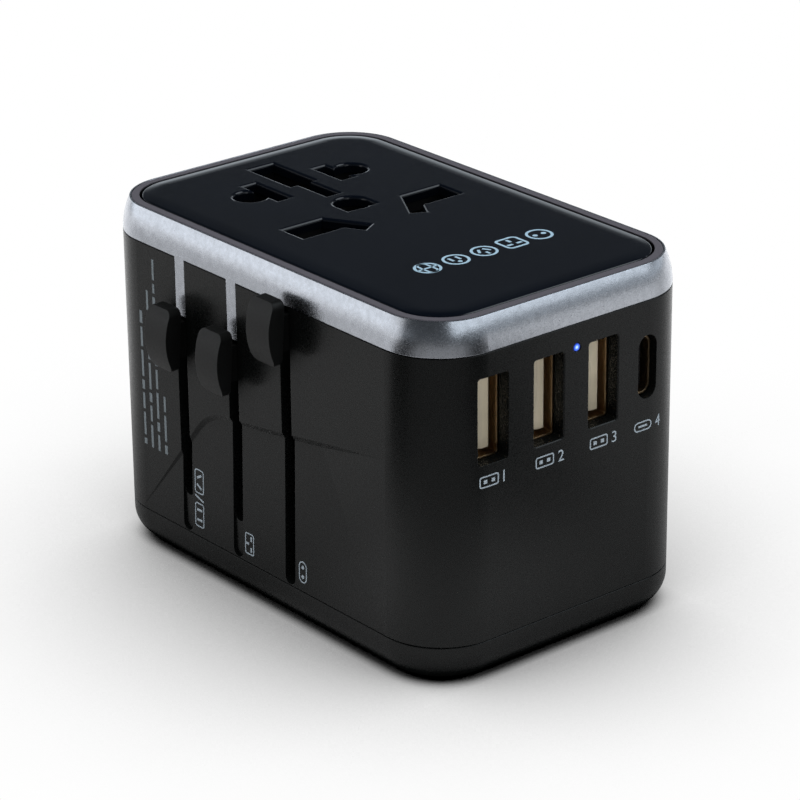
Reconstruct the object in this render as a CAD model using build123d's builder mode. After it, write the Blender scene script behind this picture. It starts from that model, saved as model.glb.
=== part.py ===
from build123d import *
from math import atan2, cos, degrees, hypot, radians, sin, tan
import os

# Universal travel adapter.  Millimetres.
# Frame: +Z up, origin at the centre of the flat base.  The USB ports face -Y,
# the three plug sliders stand on the -X side, the universal socket is on top.

os.makedirs("parts", exist_ok=True)

# ---------------------------------------------------------------- body
body_width = 50.0           # along X
body_depth = 77.2           # along Y
corner_radius = 10.0        # plan corners
wall = 2.0                  # casing wall
base_fillet = 4.5           # rounded lower edge
floor = 2.2                 # base cover floor
joint_z = 6.1               # base cover meets the casing
spigot_inset = wall + 1.2   # inner side of the spigot that locates the casing on the base
spigot_top = joint_z + 2.8
casing_top = 49.35          # casing meets the plated band
band_top = 54.3             # upper edge of the plated band
band_height = band_top - casing_top
band_lean = 1.12            # how far the band leans in at its top
band_bow = 0.28             # how far it has leaned in at half height
lip_top = 54.35             # flat lip round the socket panel
panel_top = 54.55           # flat middle of the socket panel
edge_break = 0.12           # small bevel where two shells meet
scoop_depth = 0.55          # shallow scoop on the slider side
scoop_slope = 60.0          # slope of its upper edge
scoop_start = 0.3           # its cutter starts this far outside the face

face_x = -body_width / 2    # slider side
face_y = -body_depth / 2    # USB side
inner_y = face_y + wall
inner_x = face_x + wall

# ---------------------------------------------------------------- plug sliders
slot_width = 2.3
groove_depth = 0.45
usa_y = 17.9
uk_y = 5.6
eu_y = -6.7
short_slot_bottom = 11.9    # lower end of the USA/AUS and UK slots
tongue_bottom = 40.6        # plated tongues fill the grooves above this
knob_low_z = 38.0           # centre of the USA/AUS and UK knobs at rest
knob_high_z = 46.4          # centre of the EU knob at rest
knob_width = 5.2
knob_height = 9.6
knob_crown = 4.75           # greatest stand-off of the knob's face from the casing
knob_rim = 3.55             # stand-off of that face at its top and bottom
stem_width = 1.7
stem_up = 1.9               # stem above and below the knob's centre
stem_down = 3.5
long_slot_bottom = joint_z + 0.2    # lower end of the EU slot and of all three grooves
stem_stop = 0.45            # a stem stops this far above the round end of its slot
short_travel = knob_low_z - stem_down - short_slot_bottom - stem_stop
long_travel = knob_high_z - stem_down - long_slot_bottom - stem_stop
press = 1.0                 # how far a knob presses in
knob_gap = press + 0.8      # behind the knob's face plate
arm_outer_x = inner_x + 0.4
arm_inner_x = arm_outer_x + 3.0
pocket_x = arm_outer_x + 1.7            # floor of the arm's pocket
collar_x = (inner_x + 0.15, inner_x + 0.85)

# ---------------------------------------------------------------- plugs
uk_pin_spread = 11.1        # line and neutral from the centre line
uk_pin = (6.35, 3.97)
uk_earth_pin_size = (3.97, 7.92)
uk_earth_offset = 22.2      # earth pin from the line and neutral row
uk_pin_reach = 17.7
us_pin_spread = 6.35
us_blade = (1.5, 6.35)
us_reach = 17.0
aus_twist = 30.0            # blades turn this far for the AUS socket
eu_pin_spread = 9.5
eu_pin_radius = 2.4
eu_pin_reach = 19.0
eu_block_y = -9.5
eu_block_size = (35.0, 14.0)
tip_gap = 0.3               # retracted pins stay this far inside the base

carriage_floor = short_travel + floor + 0.3
carriage_top = carriage_floor + 6.8
eu_root_z = tip_gap + eu_pin_reach
eu_deck_z = long_travel + floor + 0.4

# ---------------------------------------------------------------- socket
socket_y = 4.13             # row of the UK line and neutral openings
opening_round = 0.45        # rounded edge of every opening, in steps of so many degrees
round_step = 30.0
# each opening: centre, width and length (or a radius), and turn
socket_shapes = [
    ((0, socket_y + 21.45), (4.6, 10.2), 0),        # UK earth
    ((0.2, socket_y + 13.1), (2.3, 7.2), 0),        # AUS earth, running into it
    ((0, socket_y + 3.62), (5.4, 2.5), 0),          # USA ground: flat side
    ((0, socket_y + 4.87), 2.7, 0),                 # and round side
    ((-6.4, socket_y + 16.9), (2.45, 8.55), 0),     # USA neutral blade, the wider one
    ((6.5, socket_y + 17.3), (2.3, 6.9), 0),        # USA line blade
]
for side in (-1, 1):
    socket_shapes += [
        ((side * 11.11, socket_y), (7.23, 4.88), 0),                    # UK line and neutral
        ((side * 6.64, socket_y - 1.5), (2.28, 7.4), -side * aus_twist),  # AUS, slanting in
        ((side * eu_pin_spread, socket_y + 16.87), 2.5, 0),             # EU round pins
    ]
deck_inset = band_lean + 0.3
lip_inset = 2.6             # inner side of the lip
panel_inset = lip_inset + 0.35
panel_round = 0.35          # rounded edge of the panel
crown_slope = 10.0          # the panel's border slopes this much at its edge
crown_radius = 12.7
flat_inset = panel_inset + panel_round + (crown_radius - panel_round) * sin(radians(crown_slope))
deck_bottom = 51.4
deck_top = 53.0

carrier_floor = 38.0        # contact carrier under the socket
carrier_sheet = 1.2
carrier_top = 49.2
carrier_x = 17.5
carrier_y = (-2.2, 34.0)
shutter_bottom = 49.5
shutter_sheet = 1.6
contact_sheet = 0.5
contact_z = (40.5, 47.0)
bus_y = (9.6, 13.9)         # bus bars run between the slider arms
bus_z = (48.1, 48.7)
strap_x = (13.4, 15.4)      # feed straps to the charger board

# ---------------------------------------------------------------- USB side
port_z = 39.35
usb_a_x = (-14.08, -3.93, 6.22)
usb_a_opening = (5.45, 12.9)
usb_c_x = 14.64
usb_c_opening = (3.6, 9.6)
led_x = 1.2
led_z = 45.8
lamp_radius = 0.55
board_front = -23.4
board_back = -22.0
barrier_y = (-17.8, -17.0)  # insulating wall between the charger and the mains parts
usb_a_inside = (5.12, 12.5)  # room inside each shell
usb_c_inside = (8.34, 2.56)
shell_sheet = 0.3
shell_y = inner_y + 0.3      # front of the USB-A shells
usb_c_shell_y = face_y + 1.2
tongue_y = face_y + 3.15    # front of the USB-A tongues

# ---------------------------------------------------------------- fasteners
screw_places = [(sx * 16.5, sy * 30.5) for sx in (-1, 1) for sy in (-1, 1)]
ear_places = [(-19.0, -0.5), (-19.0, 29.5), (19.0, -0.5), (19.0, 29.5)]
ear_radius = 2.0            # screw ears of the contact carrier
ear_height = 4.0
ear_screw_radius = 0.7
ear_screw_tip = deck_top - 0.5
screw_radius = 0.9
screw_head_radius = 2.0
screw_cross = (2.4, 0.6)    # cross recess in the head
screw_tip = 18.0
screw_post_top = 20.0
rod_radius = 1.0
rod_bore = 1.05             # running bore on a guide rod
uk_rods = [(-16.6, uk_y), (16.8, 15.0)]
us_rods = [(-15.5, usa_y), (12.2, usa_y)]
eu_rod = (19.6, eu_y)


def outline(inset, mode=Mode.ADD):
    """Plan outline of the body, moved inwards."""
    RectangleRounded(body_width - 2 * inset, body_depth - 2 * inset, corner_radius - inset, mode=mode)


def body_edge():
    """The body's plan outline as a path."""
    FilletPolyline((body_width / 2, body_depth / 2), (-body_width / 2, body_depth / 2),
                   (-body_width / 2, -body_depth / 2), (body_width / 2, -body_depth / 2),
                   radius=corner_radius, close=True)


def section_plane(path):
    """Plane for a section swept along body_edge: x is the distance in from it, y the height above it."""
    along = path % 0
    return Plane(origin=path @ 0, x_dir=Vector(0, 0, 1).cross(along), z_dir=along)


def on_circle(centre, radius, angle):
    """Point on a circle, at angle degrees from its top towards the outside of a swept section."""
    return (centre[0] - radius * sin(radians(angle)), centre[1] + radius * cos(radians(angle)))


def block(x, y, z, mode=Mode.ADD):
    """Box from its low and high limits along each axis."""
    with Locations(((x[0] + x[1]) / 2, (y[0] + y[1]) / 2, (z[0] + z[1]) / 2)):
        Box(x[1] - x[0], y[1] - y[0], z[1] - z[0], mode=mode)


def post(places, radius, low, high, mode=Mode.ADD):
    """Round posts or bores along Z."""
    with Locations(*[(x, y, (low + high) / 2) for x, y in places]):
        Cylinder(radius, high - low, mode=mode)


def round_ended_slots(places, low, high):
    """Upright slots in the slider side, round at the lower end."""
    radius = slot_width / 2
    with Locations(*[(y, (low + radius + high) / 2) for y in places]):
        Rectangle(slot_width, high - low - radius)
    with Locations(*[(y, low + radius) for y in places]):
        Circle(radius)


def socket_opening(shape, margin):
    """One opening of the universal socket, each side moved outwards by margin."""
    place, size, turn = shape
    with Locations(place):
        if isinstance(size, tuple):
            Rectangle(size[0] + 2 * margin, size[1] + 2 * margin, rotation=turn)
        else:
            Circle(size + margin)


def socket_openings(margin):
    """All the openings of the universal socket in one sketch."""
    for shape in socket_shapes:
        socket_opening(shape, margin)


def mirrored(x):
    """A distance on both sides of the centre line."""
    return (-x, x)


def twist_outline(turn):
    """Outline that a blade sweeps as it turns from 0 to turn * aus_twist about its middle.

    Gives the two end arcs, each as three points, and the two waisted sides.
    """
    half_w = us_blade[0] / 2 + 0.3
    half_l = us_blade[1] / 2 + 0.3
    reach = hypot(half_w, half_l)
    waist = half_w * tan(radians(aus_twist) / 2)
    middle = 90 + turn * aus_twist / 2
    spread = aus_twist / 2 + degrees(atan2(half_w, half_l))
    ends = []
    for end in (middle, middle + 180):
        angles = [radians(end + step * spread) for step in (-1, 0, 1)]
        ends.append([(reach * cos(angle), reach * sin(angle)) for angle in angles])
    sides = [(ends[0][1 + turn], (-turn * half_w, -waist), ends[1][1 - turn]),
             (ends[0][1 - turn], (turn * half_w, waist), ends[1][1 + turn])]
    return ends, sides


# ================================================================ outer shells
with BuildPart() as main_casing:
    with BuildSketch(Plane.XY.offset(joint_z)):
        outline(0)
    extrude(amount=casing_top - joint_z)
    chamfer(main_casing.edges().filter_by(Axis.Z, reverse=True), length=edge_break)
    with BuildSketch(Plane.XY.offset(joint_z)):
        outline(wall)
    extrude(amount=casing_top - joint_z, mode=Mode.SUBTRACT)
    # posts for the case screws, ribbed to the corners
    post(screw_places, 2.4, joint_z, screw_post_top)
    for place_x, place_y in screw_places:
        with BuildSketch(Plane.XY.offset(spigot_top + 0.3)):
            with Locations((place_x * 1.13, place_y * 1.07)):
                Rectangle(6.0, 1.4, rotation=45 if place_x * place_y > 0 else -45)
        extrude(amount=screw_post_top - spigot_top - 0.3)
    post(screw_places, screw_radius, joint_z, screw_tip, mode=Mode.SUBTRACT)
    # slider grooves up to the casing's top, and the slots through their floors
    with BuildSketch(Plane.YZ.offset(face_x)):
        round_ended_slots((usa_y, uk_y, eu_y), long_slot_bottom, casing_top)
    extrude(amount=groove_depth, mode=Mode.SUBTRACT)
    with BuildSketch(Plane.YZ.offset(face_x)):
        round_ended_slots((usa_y, uk_y), short_slot_bottom, knob_low_z + stem_up + 0.3)
        round_ended_slots((eu_y,), long_slot_bottom, knob_high_z + stem_up + 0.3)
    extrude(amount=wall + 0.1, mode=Mode.SUBTRACT)
    # USB openings and the lamp hole, with a small bevel outside
    with BuildSketch(Plane.XZ.offset(-face_y)):
        with Locations(*[(x, port_z) for x in usb_a_x]):
            RectangleRounded(usb_a_opening[0], usb_a_opening[1], 0.45)
        with Locations((usb_c_x, port_z)):
            SlotOverall(usb_c_opening[1], usb_c_opening[0], rotation=90)
        with Locations((led_x, led_z)):
            Circle(lamp_radius + 0.05)
    extrude(amount=-wall - 0.1, mode=Mode.SUBTRACT)
    port_edges = main_casing.faces().sort_by(Axis.Y)[0].inner_wires().edges()
    chamfer(port_edges, length=0.15)

    # shallow scoop below a rising line on the slider side, deepest just under the line
    with BuildPart(mode=Mode.PRIVATE) as scoop:
        with BuildSketch(Plane.YZ.offset(face_x - scoop_start)):
            with BuildLine():
                Spline((30.6, 5.9), (23.3, 14.6), (16.6, 22.8), (13.2, 26.4), (9.8, 28.0), (3.7, 28.9),
                       (-10.6, 31.0), (-30.0, 33.8), tangents=[(-0.68, 0.73), (-1, 0.14)])
                Polyline((-30.0, 33.8), (-30.0, 5.9), (30.6, 5.9))
            make_face()
        extrude(amount=scoop_start + scoop_depth * 1.2, taper=scoop_slope)
        with BuildSketch(Plane.XZ):
            with BuildLine():
                Polyline((face_x - 1, joint_z), (face_x, joint_z), (face_x + scoop_depth, 30.0),
                         (face_x + scoop_depth * 1.1, 34.5), (face_x - 1, 34.5), close=True)
            make_face()
        extrude(amount=40, both=True, mode=Mode.INTERSECT)
        # its floor runs out to the face again before the corner at the USB end
        with BuildSketch(Plane.XY):
            with BuildLine():
                Spline((face_x, -28.4), (face_x + scoop_depth * 1.2, -8.0), tangents=[(0.02, 1), (0, 1)])
                Polyline((face_x + scoop_depth * 1.2, -8.0), (face_x + scoop_depth * 1.2, 32.0),
                         (face_x - 1, 32.0), (face_x - 1, -28.4), (face_x, -28.4))
            make_face()
        extrude(amount=casing_top, mode=Mode.INTERSECT)
    add(scoop.part, mode=Mode.SUBTRACT)
main_casing.part.label = "main_casing"
export_step(main_casing.part, "parts/main_casing.step")

with BuildPart() as base_cover:
    with BuildSketch():
        outline(0)
    extrude(amount=joint_z)
    fillet(base_cover.edges().group_by(Axis.Z)[0], radius=base_fillet)
    chamfer(base_cover.edges().group_by(Axis.Z)[-1], length=edge_break)
    with BuildSketch(Plane.XY.offset(floor)):
        outline(spigot_inset)
    extrude(amount=joint_z - floor, mode=Mode.SUBTRACT)
    # spigot that stands up inside the casing, left out where the slider arms run
    with BuildSketch(Plane.XY.offset(joint_z)):
        outline(wall + 0.1)
        outline(spigot_inset, mode=Mode.SUBTRACT)
    extrude(amount=spigot_top - joint_z)
    block((inner_x, inner_x + 1.3), (-11.5, 22.5), (floor, joint_z + 3), mode=Mode.SUBTRACT)
    post(screw_places, 2.6, floor, joint_z)
    post(screw_places, 1.2, 0, joint_z, mode=Mode.SUBTRACT)
    post(screw_places, 2.2, 0, 1.8, mode=Mode.SUBTRACT)
    # openings for the three plugs
    with BuildSketch():
        with Locations((0, eu_block_y)):
            SlotOverall(eu_block_size[0] + 0.7, eu_block_size[1] + 0.7)
        with Locations((-uk_pin_spread, uk_y), (uk_pin_spread, uk_y)):
            Rectangle(uk_pin[0] + 0.7, uk_pin[1] + 0.7)
        with Locations((0, uk_y + uk_earth_offset)):
            Rectangle(uk_earth_pin_size[0] + 0.7, uk_earth_pin_size[1] + 0.7)
    extrude(amount=floor, mode=Mode.SUBTRACT)
    for side in (-1, 1):
        ends, sides = twist_outline(-side)
        with BuildSketch(Plane(origin=(side * us_pin_spread, usa_y, 0))):
            with BuildLine():
                for end in ends:
                    ThreePointArc(*end)
                for corner in sides:
                    Polyline(*corner)
            make_face()
        extrude(amount=floor, mode=Mode.SUBTRACT)
base_cover.part.label = "base_cover"
export_step(base_cover.part, "parts/base_cover.step")

with BuildPart() as rim_bezel:
    with BuildLine(Plane.XY.offset(casing_top)) as rim_path:
        body_edge()
    with BuildSketch(section_plane(rim_path.line)):
        with BuildLine():
            Line((edge_break, 0), (0, edge_break))
            ThreePointArc((0, edge_break), (band_bow, band_height / 2), (band_lean, band_height))
            Polyline((band_lean, band_height), (band_lean + 0.22, band_height),
                     (band_lean + 0.22, deck_bottom - casing_top), (3.0, deck_bottom - casing_top),
                     (3.0, 0), (edge_break, 0))
        make_face()
    sweep(path=rim_path.line)
    # tongues that fill the upper ends of the two outer grooves
    with BuildSketch(Plane.YZ.offset(face_x)):
        with Locations(*[(y, (tongue_bottom + casing_top + 0.5) / 2) for y in (usa_y, uk_y)]):
            Rectangle(slot_width - 0.1, casing_top + 0.5 - tongue_bottom)
    extrude(amount=groove_depth - 0.05)
rim_bezel.part.label = "rim_bezel"
export_step(rim_bezel.part, "parts/rim_bezel.step")

with BuildPart() as top_deck:
    with BuildSketch(Plane.XY.offset(deck_bottom)):
        outline(deck_inset)
    extrude(amount=lip_top - deck_bottom)
    chamfer(top_deck.edges().group_by(Axis.Z)[-1], length=edge_break)
    with BuildSketch(Plane.XY.offset(deck_top)):
        outline(lip_inset)
    extrude(amount=lip_top - deck_top, mode=Mode.SUBTRACT)
    with BuildSketch(Plane.XY.offset(deck_bottom)):
        socket_openings(0.15)
    extrude(amount=deck_top - deck_bottom, mode=Mode.SUBTRACT)
    # bosses for the contact carrier's screws
    post(ear_places, ear_radius, carrier_top, deck_bottom)
    post(ear_places, ear_screw_radius, carrier_top, ear_screw_tip, mode=Mode.SUBTRACT)
top_deck.part.label = "top_deck"
export_step(top_deck.part, "parts/top_deck.step")

with BuildPart() as top_panel:
    with BuildSketch(Plane.XY.offset(deck_top)):
        outline(flat_inset)
    extrude(amount=panel_top - deck_top)
    # crowned border round the flat middle; its section is laid out as the band's is
    crown_centre = (flat_inset, panel_top - deck_top - crown_radius)
    round_centre = on_circle(crown_centre, crown_radius - panel_round, crown_slope)
    with BuildLine(Plane.XY.offset(deck_top)) as border_path:
        body_edge()
    with BuildSketch(section_plane(border_path.line)):
        with BuildLine():
            ThreePointArc(*[on_circle(crown_centre, crown_radius, angle)
                            for angle in (0, crown_slope / 2, crown_slope)])
            ThreePointArc(*[on_circle(round_centre, panel_round, angle)
                            for angle in (crown_slope, (crown_slope + 90) / 2, 90)])
            Polyline(on_circle(round_centre, panel_round, 90), (panel_inset, 0), (flat_inset, 0),
                     (flat_inset, panel_top - deck_top))
        make_face()
    sweep(path=border_path.line)
    with BuildSketch(Plane.XY.offset(deck_top)):
        socket_openings(0)
    extrude(amount=panel_top - deck_top, mode=Mode.SUBTRACT)
    # each opening's edge is rounded in short straight steps, steeper as they go down
    for shape in socket_shapes:
        for step in range(3):
            upper, lower = radians(step * round_step), radians((step + 1) * round_step)
            with BuildSketch(Plane.XY.offset(panel_top - opening_round * (1 - cos(upper)))):
                socket_opening(shape, opening_round * (1 - sin(upper)))
            extrude(amount=-opening_round * (cos(upper) - cos(lower)), taper=90 - degrees(upper + lower) / 2,
                    mode=Mode.SUBTRACT)
top_panel.part.label = "top_panel"
export_step(top_panel.part, "parts/top_panel.step")

# ================================================================ socket module
with BuildPart() as contact_carrier:
    block(mirrored(carrier_x), carrier_y, (carrier_floor, carrier_top))
    block(mirrored(carrier_x - carrier_sheet),
          (carrier_y[0] + 0.8, carrier_y[1] - carrier_sheet),
          (carrier_floor + carrier_sheet, carrier_top), mode=Mode.SUBTRACT)
    # notches for the bus bars and the feed straps
    block(mirrored(carrier_x), (bus_y[0] - 0.3, bus_y[1] + 0.3), (47.8, carrier_top),
          mode=Mode.SUBTRACT)
    for side in (-1, 1):
        block(sorted((side * (strap_x[0] - 0.3), side * (strap_x[1] + 0.3))),
              (carrier_y[0], carrier_y[0] + carrier_sheet), (46.6, carrier_top), mode=Mode.SUBTRACT)
    # screw ears
    post(ear_places, ear_radius, carrier_top - ear_height, carrier_top)
    for place_x, place_y in ear_places:
        block(sorted((place_x * 0.90, place_x)), (place_y - 1.6, place_y + 1.6),
              (carrier_top - ear_height, carrier_top))
    post(ear_places, ear_screw_radius + 0.25, carrier_top - ear_height, carrier_top, mode=Mode.SUBTRACT)
    with BuildSketch(Plane.XY.offset(carrier_floor)):
        socket_openings(0.3)
    extrude(amount=carrier_sheet, mode=Mode.SUBTRACT)
contact_carrier.part.label = "contact_carrier"
export_step(contact_carrier.part, "parts/contact_carrier.step")

# line and neutral contacts: a rail with a jaw on each side of every pin
for side, name in ((1, "line_contact"), (-1, "neutral_contact")):
    rail = sorted((side * 14.9, side * 15.4))
    with BuildPart() as contact:
        block(rail, (-1.0, 26.6), contact_z)
        block(rail, bus_y, (contact_z[1], bus_z[0]))
        for jaw_y in (0.9, 6.95):
            block(sorted((side * 8.4, side * 14.9)), (jaw_y, jaw_y + contact_sheet), contact_z)
        for jaw_y in (15.6, 26.1):
            block(sorted((side * 3.9, side * 14.9)), (jaw_y, jaw_y + contact_sheet), contact_z)
        block(sorted((side * 3.9, side * 4.4)), (15.6, 26.6), contact_z)
    contact.part.label = name
    export_step(contact.part, f"parts/{name}.step")

with BuildPart() as earth_contact:
    for side in (-1, 1):
        block(sorted((side * 2.7, side * 3.2)), (20.0, 31.9), contact_z)
    block(mirrored(3.2), (31.4, 31.9), contact_z)
earth_contact.part.label = "earth_contact"
export_step(earth_contact.part, "parts/earth_contact.step")

# the shutter's two bars cover the live openings until it slides towards the USB side
with BuildPart() as safety_shutter:
    slab = (shutter_bottom, shutter_bottom + shutter_sheet)
    block(mirrored(16.4), (-2.2, 6.75), slab)
    block(mirrored(16.4), (16.3, 25.9), slab)
    for side in (-1, 1):
        block(sorted((side * 15.3, side * 16.4)), (6.7, 16.4), slab)
    block(mirrored(3.6), (5.6, 6.8), slab, mode=Mode.SUBTRACT)
    block(mirrored(3.6), (16.2, 26.0), slab, mode=Mode.SUBTRACT)
safety_shutter.part.label = "safety_shutter"
export_step(safety_shutter.part, "parts/safety_shutter.step")

with BuildPart() as shutter_springs:
    for side in (-1, 1):
        with BuildLine() as coil:
            Helix(pitch=0.8, height=6.0, radius=0.55, direction=(0, 1, 0),
                  center=(side * 15.0, 26.1, shutter_bottom + shutter_sheet / 2))
        with BuildSketch(Plane(origin=coil.line @ 0, z_dir=coil.line % 0)):
            Circle(0.16)
        sweep(path=coil.line)
shutter_springs.part.label = "shutter_springs"
export_step(shutter_springs.part, "parts/shutter_springs.step")

for side, name in ((1, "line_bus_bar"), (-1, "neutral_bus_bar")):
    with BuildPart() as bus_bar:
        block(sorted((side * 19.8, side * 20.4)), bus_y, (3.0, bus_z[1]))
        block(sorted((side * 14.9, side * 20.4)), bus_y, bus_z)
    bus_bar.part.label = name
    export_step(bus_bar.part, f"parts/{name}.step")

# ================================================================ sliders
for name, knob_y, knob_z in (("usa_aus", usa_y, knob_low_z), ("uk", uk_y, knob_low_z),
                             ("eu", eu_y, knob_high_z)):
    top = knob_height / 2
    with BuildPart() as knob:
        with BuildSketch(Plane.XZ.offset(-knob_y)):
            with BuildLine():
                ThreePointArc((face_x - knob_rim, knob_z - top), (face_x - knob_crown, knob_z - 0.2),
                              (face_x - knob_rim, knob_z + top))
                Polyline((face_x - knob_rim, knob_z + top), (face_x - knob_gap, knob_z + top),
                         (face_x - knob_gap - 0.7, knob_z - top), (face_x - knob_rim, knob_z - top))
            make_face()
        extrude(amount=knob_width / 2, both=True)
        fillet(knob.edges().filter_by(Axis.X), radius=1.1)
        # stem through the slot, with a collar inside the arm's pocket
        stem_z = (knob_z - stem_down, knob_z + stem_up)
        block((face_x - knob_gap - 0.9, collar_x[1] + 1.8),
              (knob_y - stem_width / 2, knob_y + stem_width / 2), stem_z)
        block(collar_x, (knob_y - 1.8, knob_y + 1.8), (stem_z[0] - 0.2, stem_z[1] + 0.2))
    knob.part.label = f"{name}_knob"
    export_step(knob.part, f"parts/{name}_knob.step")

    with BuildPart() as knob_spring:
        block((pocket_x - 0.2, pocket_x), (knob_y - 2.0, knob_y + 2.0), (stem_z[0] - 0.45, stem_z[1] + 0.45))
        block((pocket_x - 0.2, pocket_x), (knob_y - 1.1, knob_y + 1.1), (stem_z[0] - 0.2, stem_z[1] + 0.2),
              mode=Mode.SUBTRACT)
    knob_spring.part.label = f"{name}_knob_spring"
    export_step(knob_spring.part, f"parts/{name}_knob_spring.step")


def slider_arm(arm_y, low, knob_z):
    """Upright arm that carries a knob: a pocket for its collar and a hole for its stem."""
    stem = (knob_z - stem_down, knob_z + stem_up)
    block((arm_outer_x, arm_inner_x), (arm_y - 3.0, arm_y + 3.0), (low, stem[1] + 0.9))
    block((arm_outer_x, pocket_x), (arm_y - 2.1, arm_y + 2.1), (stem[0] - 0.5, stem[1] + 0.5),
          mode=Mode.SUBTRACT)
    block((arm_outer_x, arm_inner_x), (arm_y - 1.1, arm_y + 1.1), (stem[0] - 0.2, stem[1] + 0.2),
          mode=Mode.SUBTRACT)


def pin_bar(place, size, low, high, mode=Mode.ADD):
    """Rectangular pin or pin socket."""
    block((place[0] - size[0] / 2, place[0] + size[0] / 2),
          (place[1] - size[1] / 2, place[1] + size[1] / 2), (low, high), mode=mode)


# ---------------------------------------------------------------- UK carriage
uk_power_places = [(-uk_pin_spread, uk_y), (uk_pin_spread, uk_y)]
uk_earth_place = (0, uk_y + uk_earth_offset)
uk_core = (uk_pin[0] - 1.0, uk_pin[1] - 1.0)
uk_tip_z = short_travel - uk_pin_reach
uk_sleeve_z = uk_tip_z + 8.7
uk_root_top = carriage_floor + 4.5
with BuildPart() as uk_carriage:
    body_z = (carriage_floor, carriage_top)
    block((arm_inner_x, 19.0), (uk_y - 3.0, uk_y + 3.0), body_z)
    slider_arm(uk_y, carriage_floor, knob_low_z)
    block((14.6, 19.0), (uk_y, 27.3), body_z)
    block((-3.8, 19.0), (23.3, 27.3), body_z)
    block(mirrored(3.8), (23.3, 32.6), body_z)
    for place in uk_power_places:
        pin_bar(place, uk_core, carriage_floor, uk_root_top, mode=Mode.SUBTRACT)
    pin_bar(uk_earth_place, uk_earth_pin_size, carriage_floor, uk_root_top, mode=Mode.SUBTRACT)
    post(uk_rods, rod_bore, carriage_floor, carriage_top, mode=Mode.SUBTRACT)
uk_carriage.part.label = "uk_carriage"
export_step(uk_carriage.part, "parts/uk_carriage.step")

with BuildPart() as uk_power_pins:
    for place in uk_power_places:
        pin_bar(place, uk_pin, uk_tip_z, uk_sleeve_z)
    chamfer(uk_power_pins.edges().group_by(Axis.Z)[0], length=0.7)
    for place in uk_power_places:
        pin_bar(place, uk_core, uk_sleeve_z, uk_root_top)
uk_power_pins.part.label = "uk_power_pins"
export_step(uk_power_pins.part, "parts/uk_power_pins.step")

with BuildPart() as uk_pin_sleeves:
    for place in uk_power_places:
        pin_bar(place, uk_pin, uk_sleeve_z, carriage_floor)
    for place in uk_power_places:
        pin_bar(place, uk_core, uk_sleeve_z, carriage_floor, mode=Mode.SUBTRACT)
uk_pin_sleeves.part.label = "uk_pin_sleeves"
export_step(uk_pin_sleeves.part, "parts/uk_pin_sleeves.step")

with BuildPart() as uk_earth_pin:
    pin_bar(uk_earth_place, uk_earth_pin_size, tip_gap, uk_root_top)
    chamfer(uk_earth_pin.edges().group_by(Axis.Z)[0], length=0.9)
uk_earth_pin.part.label = "uk_earth_pin"
export_step(uk_earth_pin.part, "parts/uk_earth_pin.step")

# ---------------------------------------------------------------- USA and AUS carriage
hub_radius = 3.9
hub_bore = 3.95
retainer_bore = 3.45
retainer_top = carriage_floor + 1.2
hub_z = (retainer_top + 0.1, retainer_top + 5.0)
blade_places = [(-us_pin_spread, usa_y), (us_pin_spread, usa_y)]
with BuildPart() as usa_carriage:
    body_z = (retainer_top, carriage_top)
    block((-17.4, 13.9), (usa_y - 4.5, usa_y + 4.5), body_z)
    block((arm_inner_x, -17.4), (usa_y - 3.0, usa_y + 3.0), body_z)
    slider_arm(usa_y, carriage_floor, knob_low_z)
    post(blade_places, hub_bore, retainer_top, hub_z[1] + 0.1, mode=Mode.SUBTRACT)
    post(us_rods, rod_bore, retainer_top, carriage_top, mode=Mode.SUBTRACT)
usa_carriage.part.label = "usa_aus_carriage"
export_step(usa_carriage.part, "parts/usa_aus_carriage.step")

with BuildPart() as blade_retainer:
    block((-17.4, 13.9), (usa_y - 4.5, usa_y + 4.5), (carriage_floor, retainer_top))
    post(blade_places, retainer_bore, carriage_floor, retainer_top, mode=Mode.SUBTRACT)
    post(us_rods, rod_bore, carriage_floor, retainer_top, mode=Mode.SUBTRACT)
blade_retainer.part.label = "blade_retainer"
export_step(blade_retainer.part, "parts/blade_retainer.step")

for place, name in zip(blade_places, ("left_blade", "right_blade")):
    with BuildPart() as blade:
        pin_bar(place, us_blade, short_travel - us_reach, hub_z[0])
        chamfer(blade.edges().group_by(Axis.Z)[0], length=0.4)
        post([place], hub_radius, hub_z[0], hub_z[1])
    blade.part.label = name
    export_step(blade.part, f"parts/{name}.step")

# ---------------------------------------------------------------- EU block
eu_places = [(-eu_pin_spread, eu_block_y), (eu_pin_spread, eu_block_y)]
eu_core_radius = eu_pin_radius - 0.5
eu_sleeve_z = tip_gap + 9.0
eu_pin_top = eu_root_z + 8.0
with BuildPart() as eu_block:
    with BuildSketch(Plane.XY.offset(eu_root_z)):
        with Locations((0, eu_block_y)):
            SlotOverall(*eu_block_size)
    extrude(amount=eu_deck_z - eu_root_z)
    fillet(eu_block.edges().group_by(Axis.Z)[0], radius=0.8)
    with BuildSketch(Plane.XY.offset(eu_root_z + 2.0)):
        with Locations((0, eu_block_y)):
            SlotOverall(eu_block_size[0] - 3.0, eu_block_size[1] - 3.0)
    extrude(amount=eu_deck_z - eu_root_z - 2.0, mode=Mode.SUBTRACT)
    post(eu_places, eu_pin_radius + 1.0, eu_root_z, eu_pin_top)
    post(eu_places, eu_core_radius, eu_root_z, eu_pin_top, mode=Mode.SUBTRACT)
eu_block.part.label = "eu_block"
export_step(eu_block.part, "parts/eu_block.step")

with BuildPart() as eu_pins:
    post(eu_places, eu_pin_radius, tip_gap, eu_sleeve_z)
    fillet(eu_pins.edges().group_by(Axis.Z)[0], radius=1.4)
    post(eu_places, eu_core_radius, eu_sleeve_z, eu_pin_top)
eu_pins.part.label = "eu_pins"
export_step(eu_pins.part, "parts/eu_pins.step")

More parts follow.
